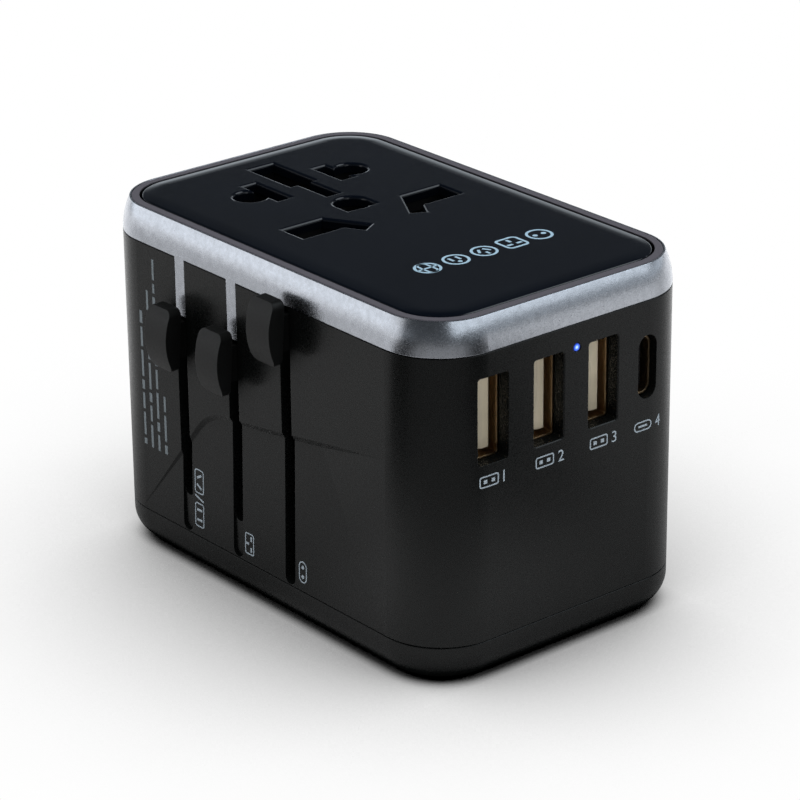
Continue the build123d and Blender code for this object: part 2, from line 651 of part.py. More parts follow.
with BuildPart() as eu_pin_sleeves:
    post(eu_places, eu_pin_radius, eu_sleeve_z, eu_root_z)
    post(eu_places, eu_core_radius, eu_sleeve_z, eu_root_z, mode=Mode.SUBTRACT)
eu_pin_sleeves.part.label = "eu_pin_sleeves"
export_step(eu_pin_sleeves.part, "parts/eu_pin_sleeves.step")

with BuildPart() as eu_carriage:
    block((-17.0, 17.0), (eu_block_y - 5.5, eu_block_y + 6.0), (eu_deck_z, eu_deck_z + 2.4))
    block((arm_inner_x, -17.0), (eu_y - 3.0, eu_y + 3.0), (eu_deck_z, eu_deck_z + 2.4))
    block((17.0, 21.4), (eu_y - 2.0, eu_y + 2.0), (eu_deck_z, eu_deck_z + 2.4))
    slider_arm(eu_y, eu_deck_z, knob_high_z)
    post([eu_rod], rod_bore, eu_deck_z, eu_deck_z + 2.4, mode=Mode.SUBTRACT)
eu_carriage.part.label = "eu_carriage"
export_step(eu_carriage.part, "parts/eu_carriage.step")

with BuildPart() as guide_rods:
    post(uk_rods + us_rods, rod_radius, floor, carrier_floor)
    post([eu_rod], rod_radius, floor, deck_bottom)
guide_rods.part.label = "guide_rods"
export_step(guide_rods.part, "parts/guide_rods.step")

# ================================================================ charger
with BuildPart() as insulating_barrier:
    block(mirrored(21.6), barrier_y, (floor, 47.4))
insulating_barrier.part.label = "insulating_barrier"
export_step(insulating_barrier.part, "parts/insulating_barrier.step")

with BuildPart() as charger_board:
    block(mirrored(20.0), (board_front, board_back), (4.0, 47.2))
charger_board.part.label = "charger_board"
export_step(charger_board.part, "parts/charger_board.step")

for number, port_x in enumerate(usb_a_x, start=1):
    with BuildPart() as shell:
        with BuildSketch(Plane.XZ.offset(-shell_y)):
            with Locations((port_x, port_z)):
                RectangleRounded(*[size + 2 * shell_sheet for size in usb_a_inside], 2 * shell_sheet)
                RectangleRounded(*usb_a_inside, shell_sheet, mode=Mode.SUBTRACT)
        extrude(amount=shell_y - board_front)
    shell.part.label = f"usb_a_shell_{number}"
    export_step(shell.part, f"parts/usb_a_shell_{number}.step")

    with BuildPart() as tongue:
        block((port_x - 0.09, port_x + 1.75), (tongue_y, board_front), (port_z - 5.55, port_z + 5.55))
        front_edges = tongue.edges().group_by(Axis.Y)[0]
        chamfer(front_edges.sort_by(Axis.X)[0], length=0.35, length2=0.7)
    tongue.part.label = f"usb_a_tongue_{number}"
    export_step(tongue.part, f"parts/usb_a_tongue_{number}.step")

with BuildPart() as usb_contacts:
    for port_x in usb_a_x:
        for contact_offset in (-3.5, -1.0, 1.0, 3.5):
            block((port_x - 0.24, port_x - 0.09), (tongue_y + 0.8, board_front),
                  (port_z + contact_offset - 0.5, port_z + contact_offset + 0.5))
usb_contacts.part.label = "usb_contacts"
export_step(usb_contacts.part, "parts/usb_contacts.step")

with BuildPart() as usb_c_shell:
    with BuildSketch(Plane.XZ.offset(-usb_c_shell_y)):
        with Locations((usb_c_x, port_z)):
            SlotOverall(*[size + 2 * shell_sheet for size in usb_c_inside], rotation=90)
            SlotOverall(*usb_c_inside, rotation=90, mode=Mode.SUBTRACT)
    extrude(amount=usb_c_shell_y - board_front)
usb_c_shell.part.label = "usb_c_shell"
export_step(usb_c_shell.part, "parts/usb_c_shell.step")

with BuildPart() as usb_c_tongue:
    block((usb_c_x - 0.35, usb_c_x + 0.35), (face_y + 1.9, board_front), (port_z - 3.3, port_z + 3.3))
usb_c_tongue.part.label = "usb_c_tongue"
export_step(usb_c_tongue.part, "parts/usb_c_tongue.step")

with BuildPart() as lamp_pipe:
    with BuildSketch(Plane.XZ.offset(-(face_y + 0.1))):
        with Locations((led_x, led_z)):
            Circle(lamp_radius)
    extrude(amount=face_y + 0.1 - (board_front - 1.0))
lamp_pipe.part.label = "lamp_pipe"
export_step(lamp_pipe.part, "parts/lamp_pipe.step")

with BuildPart() as status_lamp:
    block((led_x - 0.8, led_x + 0.8), (board_front - 1.0, board_front), (led_z - 0.6, led_z + 0.6))
status_lamp.part.label = "status_lamp"
export_step(status_lamp.part, "parts/status_lamp.step")

# transformer: two E cores round a wound bobbin, below the USB ports
core_y = (board_front - 11.0, board_front)
with BuildPart() as transformer_core:
    block((-13.0, 1.0), core_y, (10.0, 26.0))
    block((-10.5, -7.75), core_y, (12.5, 23.5), mode=Mode.SUBTRACT)
    block((-4.25, -1.5), core_y, (12.5, 23.5), mode=Mode.SUBTRACT)
transformer_core.part.label = "transformer_core"
export_step(transformer_core.part, "parts/transformer_core.step")

with BuildPart() as transformer_winding:
    block((-10.4, -1.6), (core_y[0] - 0.8, core_y[1]), (12.6, 23.4))
    block((-7.75, -4.25), core_y, (12.5, 23.5), mode=Mode.SUBTRACT)
transformer_winding.part.label = "transformer_winding"
export_step(transformer_winding.part, "parts/transformer_winding.step")

# centre across and up the board, radius and length of each can
capacitor_sizes = ((6.4, 14.0, 4.0, 11.0), (6.4, 22.6, 4.0, 11.0), (13.2, 24.5, 2.5, 8.0))
with BuildPart() as filter_capacitors:
    for cap_x, cap_z, radius, length in capacitor_sizes:
        with BuildSketch(Plane.XZ.offset(-board_front)):
            with Locations((cap_x, cap_z)):
                Circle(radius)
        extrude(amount=length)
    fillet(filter_capacitors.edges().group_by(Axis.Y)[0], radius=0.4)
filter_capacitors.part.label = "filter_capacitors"
export_step(filter_capacitors.part, "parts/filter_capacitors.step")

with BuildPart() as choke:
    with BuildSketch(Plane.XZ.offset(-board_front)):
        with Locations((-17.0, 26.0)):
            Circle(3.2)
            Circle(1.2, mode=Mode.SUBTRACT)
    extrude(amount=5.0)
choke.part.label = "choke"
export_step(choke.part, "parts/choke.step")

fuse_place = (board_front - 2.9, 7.0)
with BuildPart() as fuse:
    with BuildSketch(Plane.YZ.offset(-10.0)):
        with Locations(fuse_place):
            Circle(2.5)
    extrude(amount=20.0)
fuse.part.label = "fuse"
export_step(fuse.part, "parts/fuse.step")

with BuildPart() as fuse_clips:
    for clip_x in (-9.0, 6.0):
        with BuildSketch(Plane.YZ.offset(clip_x)):
            with Locations(fuse_place):
                Circle(2.8)
                Circle(2.5, mode=Mode.SUBTRACT)
            with Locations((fuse_place[0] - 3.0, fuse_place[1])):
                Rectangle(4.0, 3.0, mode=Mode.SUBTRACT)
        extrude(amount=3.0)
fuse_clips.part.label = "fuse_clips"
export_step(fuse_clips.part, "parts/fuse_clips.step")

with BuildPart() as feed_straps:
    for side in (-1, 1):
        across = sorted((side * strap_x[0], side * strap_x[1]))
        block(across, (board_back, -0.6), (47.8, 48.3))
        block(across, (board_back, board_back + 0.5), (44.0, 48.3))
        block(across, (-1.0, -0.6), (contact_z[1], 48.3))
feed_straps.part.label = "feed_straps"
export_step(feed_straps.part, "parts/feed_straps.step")

# ================================================================ fasteners
with BuildPart() as case_screws:
    post(screw_places, screw_head_radius, 0.2, 1.8)
    for place_x, place_y in screw_places:
        for arm in (screw_cross, screw_cross[::-1]):
            pin_bar((place_x, place_y), arm, 0.2, 1.2, mode=Mode.SUBTRACT)
    post(screw_places, screw_radius, 1.8, screw_tip)
case_screws.part.label = "case_screws"
export_step(case_screws.part, "parts/case_screws.step")

with BuildPart() as carrier_screws:
    post(ear_places, 2 * ear_screw_radius, carrier_top - ear_height - 1.2, carrier_top - ear_height)
    post(ear_places, ear_screw_radius, carrier_top - ear_height, ear_screw_tip)
carrier_screws.part.label = "carrier_screws"
export_step(carrier_screws.part, "parts/carrier_screws.step")
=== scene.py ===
"""The looks of the universal travel adapter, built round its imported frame.

Metres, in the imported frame: +Z up, the USB ports face -Y, the slider knobs stand on -X, and the origin is the
middle of the underside.
"""

import math

import bmesh
import bpy
from mathutils import Matrix, Vector
from mathutils.bvhtree import BVHTree


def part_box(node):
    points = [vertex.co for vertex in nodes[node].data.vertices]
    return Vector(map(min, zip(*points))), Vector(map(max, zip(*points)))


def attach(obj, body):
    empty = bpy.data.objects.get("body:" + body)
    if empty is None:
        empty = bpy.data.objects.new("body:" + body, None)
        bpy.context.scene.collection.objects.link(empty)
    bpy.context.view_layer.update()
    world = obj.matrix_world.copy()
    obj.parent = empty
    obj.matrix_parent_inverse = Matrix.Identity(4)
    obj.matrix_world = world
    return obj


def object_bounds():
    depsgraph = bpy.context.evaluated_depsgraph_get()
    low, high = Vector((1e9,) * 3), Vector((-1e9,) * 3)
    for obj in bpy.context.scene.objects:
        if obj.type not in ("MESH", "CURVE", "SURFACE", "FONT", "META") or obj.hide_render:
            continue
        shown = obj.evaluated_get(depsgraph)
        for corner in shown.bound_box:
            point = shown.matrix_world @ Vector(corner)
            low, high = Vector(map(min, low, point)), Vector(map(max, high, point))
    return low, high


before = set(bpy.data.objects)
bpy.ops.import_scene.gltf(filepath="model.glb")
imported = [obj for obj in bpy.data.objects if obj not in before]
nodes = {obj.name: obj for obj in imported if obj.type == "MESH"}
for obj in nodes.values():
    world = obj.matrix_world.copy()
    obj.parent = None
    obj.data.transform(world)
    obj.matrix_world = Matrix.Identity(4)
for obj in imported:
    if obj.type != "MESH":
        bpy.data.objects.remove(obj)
cad_low, cad_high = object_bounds()

MM = 0.001
CENTRE = (cad_low + cad_high) / 2
X, Y, Z = Vector((1, 0, 0)), Vector((0, 1, 0)), Vector((0, 0, 1))


# ---------------------------------------------------------------- node helpers
def add(tree, kind, inputs=None, **settings):
    """A shader node. An input is a number, a colour, or another node's output."""
    made = tree.nodes.new("ShaderNode" + kind)
    for name, value in settings.items():
        setattr(made, name, value)
    for name, value in (inputs or {}).items():
        if isinstance(value, bpy.types.NodeSocket):
            tree.links.new(value, made.inputs[name])
        else:
            made.inputs[name].default_value = value
    return made


def material(name, inputs=None):
    """A Principled material, its plain values set on the shader's own sockets."""
    made = bpy.data.materials.new(name)
    made.use_nodes = True
    shader = made.node_tree.nodes["Principled BSDF"]
    for socket, value in (inputs or {}).items():
        shader.inputs[socket].default_value = value
    return made, made.node_tree, shader


def wire(tree, shader, colour, roughness, normal=None):
    """Links what varies over a surface to the shader."""
    for socket, value in (("Base Color", colour), ("Roughness", roughness), ("Normal", normal)):
        if value:
            tree.links.new(value, shader.inputs[socket])


def noise(tree, size, detail=2.0, roughness=0.5, stretch=None):
    """Noise whose features are about size metres across, in the piece's own coordinates."""
    place = add(tree, "TexCoord").outputs["Object"]
    if stretch:
        place = add(tree, "Mapping", {"Vector": place, "Scale": stretch}).outputs[0]
    return add(tree, "TexNoise", {"Vector": place, "Scale": 1 / size, "Detail": detail,
                                  "Roughness": roughness}).outputs[0]


def remap(tree, value, source=(0.0, 1.0), target=(0.0, 1.0), **settings):
    """Carries a value from the source range to the target range, and holds it at both ends."""
    return add(tree, "MapRange", {"Value": value, "From Min": source[0], "From Max": source[1],
                                  "To Min": target[0], "To Max": target[1]}, **settings).outputs[0]


def multiply(tree, first, second):
    """The product of two values."""
    return add(tree, "Math", {0: first, 1: second}, operation="MULTIPLY").outputs[0]


def ramp(tree, value, *stops):
    """Colour that follows a 0 to 1 value through (position, colour) stops."""
    made = add(tree, "ValToRGB", {"Fac": value})
    elements = made.color_ramp.elements
    for element, (position, colour) in zip((elements[0], elements[1]), (stops[0], stops[-1])):
        element.position, element.color = position, (*colour, 1)
    for position, colour in stops[1:-1]:
        elements.new(position).color = (*colour, 1)
    return made.outputs[0]


def grey_ramp(tree, value, *stops):
    """Grey that follows a 0 to 1 value through (position, brightness) stops."""
    return ramp(tree, value, *((position, (shade, shade, shade)) for position, shade in stops))


NOISE_LOW, NOISE_HIGH = 0.33, 0.67      # most of a noise's values lie between these


def spread(tree, value, low, high):
    """A noise stretched to run from low to high."""
    return remap(tree, value, (NOISE_LOW, NOISE_HIGH), (low, high))


def two_tone(tree, value, dark, light):
    """Colour between dark and light, by a noise."""
    return ramp(tree, value, (NOISE_LOW, dark), (NOISE_HIGH, light))


def soft_edge(tree, radius):
    """Surface direction that rounds off every edge by the radius."""
    return add(tree, "Bevel", {"Radius": radius}, samples=6).outputs[0]


def bump(tree, height, depth, normal):
    """Surface relief of the given depth in metres, over what normal already holds."""
    return add(tree, "Bump", {"Height": height, "Distance": depth, "Strength": 1.0,
                              "Normal": normal}).outputs[0]


def tinted(colour, factor):
    """A colour made lighter or darker."""
    return tuple(min(1.0, part * factor) for part in colour)


def sheltered(tree, amount, reach):
    """Painted shade: an amount that falls to nothing in tight places, and grows to its full size in the open.
    """
    around = add(tree, "AmbientOcclusion", {"Distance": reach}, samples=6).outputs["AO"]
    return remap(tree, around, (0.5, 0.9), (0.0, amount))


def camera_sees(tree, seen, otherwise, output):
    """Shows the camera one shader and every other ray another, at the tree's output node."""
    camera_ray = add(tree, "LightPath").outputs["Is Camera Ray"]
    both = add(tree, "MixShader", {"Fac": camera_ray})
    tree.links.new(otherwise.outputs[0], both.inputs[1])
    tree.links.new(seen.outputs[0], both.inputs[2])
    tree.links.new(both.outputs[0], tree.nodes[output].inputs["Surface"])


# ---------------------------------------------------------------- materials
def moulded_plastic(name, colour, roughness, grain=0.22 * MM, depth=0.006 * MM, specular=0.4, reach=0.0):
    """Moulded plastic: a spark-eroded grain, faint cloudiness, and edges that catch the light.

    With a reach, its gloss fades where other surfaces stand nearer than that: painted shade in tight places.
    """
    made, tree, shader = material(name, {"Specular IOR Level": specular})
    cloud = noise(tree, 9 * MM, detail=4.0)
    fine = noise(tree, grain, detail=3.0, roughness=0.65)
    wire(tree, shader, two_tone(tree, cloud, tinted(colour, 0.88), tinted(colour, 1.12)),
         spread(tree, fine, roughness - 0.06, roughness + 0.06),
         bump(tree, fine, depth, soft_edge(tree, 0.12 * MM)))
    if reach:
        tree.links.new(sheltered(tree, specular, reach), shader.inputs["Specular IOR Level"])
    return made


def polished_plastic(name, colour, roughness, specular=0.5):
    """Hard polished plastic: nearly flat, with a faint cloud and fine handling marks in its gloss."""
    made, tree, shader = material(name, {"Specular IOR Level": specular})
    cloud = noise(tree, 14 * MM, detail=3.0)
    marks = noise(tree, 0.9 * MM, detail=4.0, roughness=0.6)
    wire(tree, shader, two_tone(tree, cloud, tinted(colour, 0.9), tinted(colour, 1.1)),
         spread(tree, marks, roughness - 0.02, roughness + 0.02),
         bump(tree, marks, 0.0006 * MM, soft_edge(tree, 0.1 * MM)))
    return made


def metallic_paint(name, colour, roughness):
    """Satin metallic paint: fine flake over a faintly cloudy base."""
    made, tree, shader = material(name, {"Metallic": 1.0})
    flake = noise(tree, 0.26 * MM, detail=3.0, roughness=0.7)
    cloud = noise(tree, 1.1 * MM, detail=4.0, roughness=0.65)
    grain = bump(tree, flake, 0.008 * MM, soft_edge(tree, 0.1 * MM))
    wire(tree, shader, two_tone(tree, cloud, tinted(colour, 0.9), tinted(colour, 1.08)),
         spread(tree, flake, roughness - 0.05, roughness + 0.05),
         bump(tree, cloud, 0.010 * MM, grain))
    return made


def rim_paint(name, colour, plastic, height):
    """Satin grey paint on the top face, above the given height; below it, black plastic colour as painted shade
    on the walls.
    """
    made, tree, shader = material(name, {"Specular IOR Level": 0.3})
    flake = noise(tree, 0.2 * MM, detail=3.0, roughness=0.7)
    place = add(tree, "TexCoord").outputs["Object"]
    level = add(tree, "SeparateXYZ", {"Vector": place}).outputs["Z"]
    painted = add(tree, "Math", {0: level, 1: height}, operation="GREATER_THAN").outputs[0]
    paint = two_tone(tree, flake, tinted(colour, 0.9), tinted(colour, 1.1))
    mixed = add(tree, "Mix", {"Factor": painted, "A": (*plastic, 1), "B": paint}, data_type="RGBA")
    wire(tree, shader, mixed.outputs["Result"], spread(tree, flake, 0.42, 0.54),
         bump(tree, flake, 0.005 * MM, soft_edge(tree, 0.1 * MM)))
    return made


def drawn_metal(name, colour, roughness, metallic=1.0):
    """Rolled or drawn metal: fine upright lines, with a little tarnish."""
    made, tree, shader = material(name, {"Metallic": metallic})
    lines = noise(tree, 0.08 * MM, detail=3.0, stretch=(1, 1, 0.05))
    tarnish = noise(tree, 2.4 * MM, detail=4.0)
    wire(tree, shader, two_tone(tree, tarnish, tinted(colour, 0.82), tinted(colour, 1.06)),
         spread(tree, lines, roughness - 0.07, roughness + 0.09),
         bump(tree, lines, 0.002 * MM, soft_edge(tree, 0.08 * MM)))
    return made


def ink(name, colour):
    """Pad-printed ink: thin, slightly uneven cover."""
    made, tree, shader = material(name, {"Specular IOR Level": 0.3})
    cover = noise(tree, 0.25 * MM, detail=3.0)
    wire(tree, shader, two_tone(tree, cover, tinted(colour, 0.82), colour), spread(tree, cover, 0.5, 0.65))
    return made


def lamp_glow(name):
    """The status lamp: a white-hot middle in a blue pipe."""
    made, tree, shader = material(name, {"Base Color": (0.02, 0.06, 0.3, 1), "Roughness": 0.2,
                                         "Emission Strength": 1.2})
    low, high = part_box("lamp_pipe")
    middle = (low + high) / 2
    place = add(tree, "TexCoord").outputs["Object"]
    flat = add(tree, "VectorMath", {0: place, 1: (1, 0, 1)}, operation="MULTIPLY").outputs[0]
    away = add(tree, "VectorMath", {0: flat, 1: (middle.x, 0, middle.z)}, operation="DISTANCE")
    outwards = remap(tree, away.outputs["Value"], (0.0, (high.x - low.x) / 2))
    glow = ramp(tree, outwards, (0.0, (0.9, 0.95, 1.0)), (0.3, (0.35, 0.6, 1.0)), (0.6, (0.03, 0.12, 0.75)),
                (1.0, (0.005, 0.02, 0.25)))
    tree.links.new(glow, shader.inputs["Emission Color"])
    return made


def assign(made, *names):
    """Gives CAD nodes a material in place of the one that they were packed with."""
    for name in names:
        mesh = nodes[name].data
        mesh.materials.clear()
        mesh.materials.append(made)


LIP_PAINT_DEPTH = 0.2 * MM      # how far the grey paint reaches down from the lip's top face

# The casing's and the knobs' gloss carries painted shade, within their reach of other surfaces.
casing = moulded_plastic("casing_black", (0.0036, 0.0040, 0.0039), 0.28, depth=0.0012 * MM,
                         specular=0.28, reach=5 * MM)
knob_plastic = moulded_plastic("knob_grey", (0.0045, 0.0047, 0.0047), 0.46, grain=0.35 * MM,
                               depth=0.010 * MM, specular=0.31, reach=10 * MM)
inner_black = moulded_plastic("inner_black", (0.005, 0.005, 0.0055), 0.5, specular=0.15)
inner_white = moulded_plastic("inner_white", (0.62, 0.60, 0.55), 0.5)
panel = polished_plastic("panel_black", (0.0018, 0.0028, 0.0052), 0.12, specular=0.46)
# The lip: satin grey paint on its top face, and black below it as painted shade on the walls of its openings.
lip = rim_paint("lip_grey", (0.062, 0.059, 0.070), (0.004, 0.004, 0.0045),
                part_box("top_deck")[1].z - LIP_PAINT_DEPTH)
band = metallic_paint("band_silver", (0.60, 0.625, 0.68), 0.24)
brass = drawn_metal("brass", (0.72, 0.52, 0.25), 0.32)
nickel = drawn_metal("nickel", (0.70, 0.69, 0.67), 0.22)
shell_gold = drawn_metal("shell_gold", (0.62, 0.44, 0.26), 0.34)
steel = drawn_metal("steel", (0.55, 0.55, 0.56), 0.3)
beige = moulded_plastic("tongue_beige", (0.66, 0.57, 0.42), 0.4, grain=0.1 * MM, depth=0.002 * MM)
board = polished_plastic("board_green", (0.02, 0.12, 0.05), 0.35)
ferrite = moulded_plastic("ferrite", (0.05, 0.05, 0.055), 0.7)
tape = polished_plastic("tape_yellow", (0.65, 0.45, 0.06), 0.3)
can = drawn_metal("can_aluminium", (0.28, 0.31, 0.45), 0.4, metallic=0.4)
ceramic = moulded_plastic("fuse_ceramic", (0.75, 0.73, 0.68), 0.4)

assign(casing, "main_casing", "base_cover", "eu_block")
assign(knob_plastic, "usa_aus_knob", "uk_knob", "eu_knob")
assign(inner_black, "contact_carrier", "safety_shutter", "uk_carriage", "usa_aus_carriage", "blade_retainer",
       "eu_carriage", "uk_pin_sleeves", "eu_pin_sleeves", "usb_c_tongue")
assign(inner_white, "insulating_barrier")
assign(panel, "top_panel")
assign(lip, "top_deck")
assign(band, "rim_bezel")
assign(brass, "line_contact", "neutral_contact", "earth_contact", "line_bus_bar", "neutral_bus_bar",
       "feed_straps", "usb_contacts", "fuse_clips")
assign(nickel, "uk_power_pins", "uk_earth_pin", "left_blade", "right_blade", "eu_pins")
assign(steel, "shutter_springs", "usa_aus_knob_spring", "uk_knob_spring", "eu_knob_spring", "guide_rods",
       "case_screws", "carrier_screws")
assign(shell_gold, "usb_a_shell_1", "usb_a_shell_2", "usb_a_shell_3", "usb_c_shell")
assign(beige, "usb_a_tongue_1", "usb_a_tongue_2", "usb_a_tongue_3")
assign(board, "charger_board")
assign(ferrite, "transformer_core", "choke")
assign(tape, "transformer_winding")
assign(can, "filter_capacitors")
assign(ceramic, "fuse")
assign(lamp_glow("lamp_blue"), "lamp_pipe", "status_lamp")


# ---------------------------------------------------------------- printed marks
# A mark is a list of polygons, each a list of points in millimetres: along the line of print, then up it.
CORNER_STEPS = 6        # straight pieces in each quarter of a round corner

INK_LIFT = 0.012 * MM   # half the ink film's thickness
WELD = 0.002 * MM       # points of a mark that lie nearer than this are one point
LONG_EDGE = 0.5 * MM    # a longer edge is cut up, so that it follows a curved face
CUTS = 5
RAY_START = 3 * MM      # how far outside the face the film is dropped from

SLIDER_FACE = -25 * MM  # X of the face that the knobs stand on


def bar(centre, size, turn=0.0):
    """A filled rectangle, turned by so many degrees."""
    c, s = math.cos(math.radians(turn)), math.sin(math.radians(turn))
    corners = [(x * size[0] / 2, y * size[1] / 2) for x, y in ((-1, -1), (1, -1), (1, 1), (-1, 1))]
    return [[(centre[0] + x * c - y * s, centre[1] + x * s + y * c) for x, y in corners]]


def rounded(centre, size, radius):
    """Outline of a rectangle with round corners."""
    points = []
    for quarter, (sx, sy) in enumerate(((1, 1), (-1, 1), (-1, -1), (1, -1))):
        for step in range(CORNER_STEPS + 1):
            angle = math.radians(90 * (quarter + step / CORNER_STEPS))
            points.append((centre[0] + sx * (size[0] / 2 - radius) + radius * math.cos(angle),
                           centre[1] + sy * (size[1] / 2 - radius) + radius * math.sin(angle)))
    return points


def dot(centre, diameter):
    """A filled circle."""
    return [rounded(centre, (diameter, diameter), diameter / 2 - 0.001)]


def line_round(centre, size, radius, line):
    """A line drawn just inside a rectangle with round corners."""
    outer = rounded(centre, size, radius)
    inner = rounded(centre, [side - 2 * line for side in size], radius - line)
    count = len(outer)
    return [[outer[n], outer[(n + 1) % count], inner[(n + 1) % count], inner[n]] for n in range(count)]


def two_bars(aside, height, size, turn=0.0):
    """A mirrored pair of bars, each so far from the middle and turned by so many degrees."""
    return bar((-aside, height), size, -turn) + bar((aside, height), size, turn)


def two_dots(aside, height, diameter):
    """A pair of dots, each so far from the middle."""
    return dot((-aside, height), diameter) + dot((aside, height), diameter)


def number(text, left, height):
    """A figure in the plain built-in font, its left edge at left and its middle on the line of print."""
    curve = bpy.data.curves.new("figure", "FONT")
    curve.body, curve.resolution_u = text, 4
    figure = bpy.data.objects.new("figure", curve)
    mesh = bpy.data.meshes.new_from_object(figure)
    low_x, low_y = (min(v.co[axis] for v in mesh.vertices) for axis in (0, 1))
    scale = height / (max(v.co.y for v in mesh.vertices) - low_y)
    made = [[(left + (mesh.vertices[n].co.x - low_x) * scale,
              (mesh.vertices[n].co.y - low_y) * scale - height / 2) for n in face.vertices]
            for face in mesh.polygons]
    bpy.data.meshes.remove(mesh)
    bpy.data.objects.remove(figure)
    bpy.data.curves.remove(curve)
    return made


def moved(mark, along):
    """A mark moved along its line of print."""
    return [[(x + along, y) for x, y in polygon] for polygon in mark]


def surface_of(node):
    """What rays are cast at, to lay print on a CAD piece."""
    mesh = nodes[node].data
    return BVHTree.FromPolygons([v.co for v in mesh.vertices], [face.vertices for face in mesh.polygons])


def print_on(name, surface, mark, origin, along, up, colour):
    """Lays a mark on a surface as a film of ink that follows it."""
    out = along.cross(up)
    film = bmesh.new()
    for polygon in mark:
        film.faces.new([film.verts.new(origin + (along * x + up * y) * MM) for x, y in polygon])
    bmesh.ops.remove_doubles(film, verts=film.verts, dist=WELD)
    lengthy = [edge for edge in film.edges if edge.calc_length() > LONG_EDGE]
    bmesh.ops.subdivide_edges(film, edges=lengthy, cuts=CUTS, use_grid_fill=True)
    for vertex in film.verts:
        hit = surface.ray_cast(vertex.co + out * RAY_START, -out)[0]
        vertex.co = hit + out * INK_LIFT
    mesh = bpy.data.meshes.new(name)
    film.to_mesh(mesh)
    film.free()
    made = bpy.data.objects.new(name, mesh)
    bpy.context.scene.collection.objects.link(made)
    mesh.materials.append(colour)
    thick = made.modifiers.new("film", "SOLIDIFY")
    thick.thickness, thick.offset = 2 * INK_LIFT, 0
    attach(made, "housing")


fine_ink = ink("ink_fine", (0.18, 0.21, 0.23))
side_ink = ink("ink_side", (0.36, 0.42, 0.47))
top_ink = ink("ink_top", (0.27, 0.40, 0.50))
case_surface, panel_surface = surface_of("main_casing"), surface_of("top_panel")


def print_port_signs():
    """Under each port, a small picture of its connector and a number."""
    usb_a = line_round((0, 0), (3.4, 1.75), 0.4, 0.2) + two_bars(0.7, 0, (0.6, 0.55))
    usb_c = line_round((0, 0), (3.4, 1.5), 0.74, 0.2) + bar((0, 0), (1.7, 0.3))
    usb_a_place, usb_c_place = (0.45, -2.35), (0.5, -4.4)   # from the middle of the shell's lower edge
    ports = [(f"usb_a_shell_{n}", usb_a, usb_a_place) for n in (1, 2, 3)]
    ports.append(("usb_c_shell", usb_c, usb_c_place))
    for count, (shell, sign, (aside, below)) in enumerate(ports, start=1):
        low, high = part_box(shell)
        origin = Vector(((low.x + high.x) / 2 + aside * MM, cad_low.y, low.z + below * MM))
        mark = moved(sign, -1.2) + number(str(count), left=1.3, height=1.7)
        print_on(f"port_sign_{count}", case_surface, mark, origin, X, Z, side_ink)


def print_slider_signs():
    """Beside each slider, a small picture of its plug's pins, read upwards."""
    outline = line_round((0, 0), (3.9, 2.2), 0.5, 0.19)
    straight = outline + two_bars(0.8, 0, (0.36, 1.25))
    slanted = outline + two_bars(0.8, 0, (0.36, 1.25), turn=28)
    usa_aus = moved(straight, -2.7) + bar((0, 0), (0.28, 2.2), -18) + moved(slanted, 2.7)
    uk = line_round((0, 0), (3.4, 2.1), 0.4, 0.19) + bar((0, 0.45), (0.36, 0.7)) \
        + two_bars(0.85, -0.4, (0.75, 0.36))
    eu = line_round((0, 0), (3.4, 1.8), 0.88, 0.19) + two_dots(0.75, 0, 0.6)
    # Each sign with the Y and Z of its middle, in millimetres.
    signs = {"usa_aus": (usa_aus, 15.1, 12.3), "uk": (uk, 2.95, 9.2), "eu": (eu, -9.6, 9.2)}
    for name, (mark, place_y, place_z) in signs.items():
        origin = Vector((SLIDER_FACE, place_y * MM, place_z * MM))
        print_on(f"slider_sign_{name}", case_surface, mark, origin, Z, Y, side_ink)


def print_greeked_lines():
    """Plain dashes where adapters carry their small print: four rows, read upwards."""
    # In millimetres: the space between dashes, and the shortest of the seven lengths, each a step longer.
    gap, shortest, step, lengths = 0.6, 0.9, 0.55, 7
    thin, thick, too_short = 0.5, 0.65, 0.8
    # Each row's Y, and the Z where it starts and ends, in millimetres.
    rows = ((28.05, 17.0, 38.5), (26.3, 16.9, 42.1), (24.6, 16.9, 47.4), (22.85, 16.9, 26.2))
    for row, (place_y, start, end) in enumerate(rows):
        mark, at, count = [], start, row
        while at < end - too_short:
            length = min(shortest + step * (count * 5 % lengths), end - at)
            mark += bar((at + length / 2, 0), (length, thin if count % 3 else thick))
            at += length + gap
            count += 1
        origin = Vector((SLIDER_FACE, place_y * MM, 0))
        print_on(f"small_print_{row}", case_surface, mark, origin, Z, Y, fine_ink)


def print_plug_row():
    """A row of plug signs across the top panel: a globe, then four national pin patterns."""
    ring = line_round((0, 0), (4.1, 4.1), 2.04, 0.42)
    signs = {
        "globe": ring + line_round((0, 0), (1.9, 4.0), 0.94, 0.36) + bar((0, 0), (3.6, 0.36)),
        "usa": ring + two_bars(0.65, 0.35, (0.42, 1.3)) + dot((0, -0.9), 0.7),
        "aus": ring + two_bars(0.7, 0.3, (0.42, 1.3), turn=30) + bar((0, -0.85), (0.42, 0.9)),
        "uk": line_round((0, 0), (4.0, 4.0), 0.9, 0.42) + bar((0, 0.75), (0.5, 1.0))
              + two_bars(0.85, -0.6, (0.95, 0.5)),
        "eu": ring + two_dots(0.8, 0, 0.8),
    }
    first_x, pitch, row_y = -9.3, 5.2, -19.2
    for count, (name, mark) in enumerate(signs.items()):
        origin = Vector(((first_x + pitch * count) * MM, row_y * MM, cad_high.z))
        print_on(f"plug_sign_{name}", panel_surface, mark, origin, X, Y, top_ink)


print_port_signs()
print_slider_signs()
print_greeked_lines()
print_plug_row()


# ---------------------------------------------------------------- studio
BACK = (0.636, 0.772, 0)        # the way to the back of the studio, behind the object in the photograph
FLOOR_SIZE = 8
FLOOR_GAP = 0.2 * MM            # the floor lies this far under the object
PAPER_WHITE = 0.84

ROOM_TINT = (0.85, 0.93, 1.0, 1)
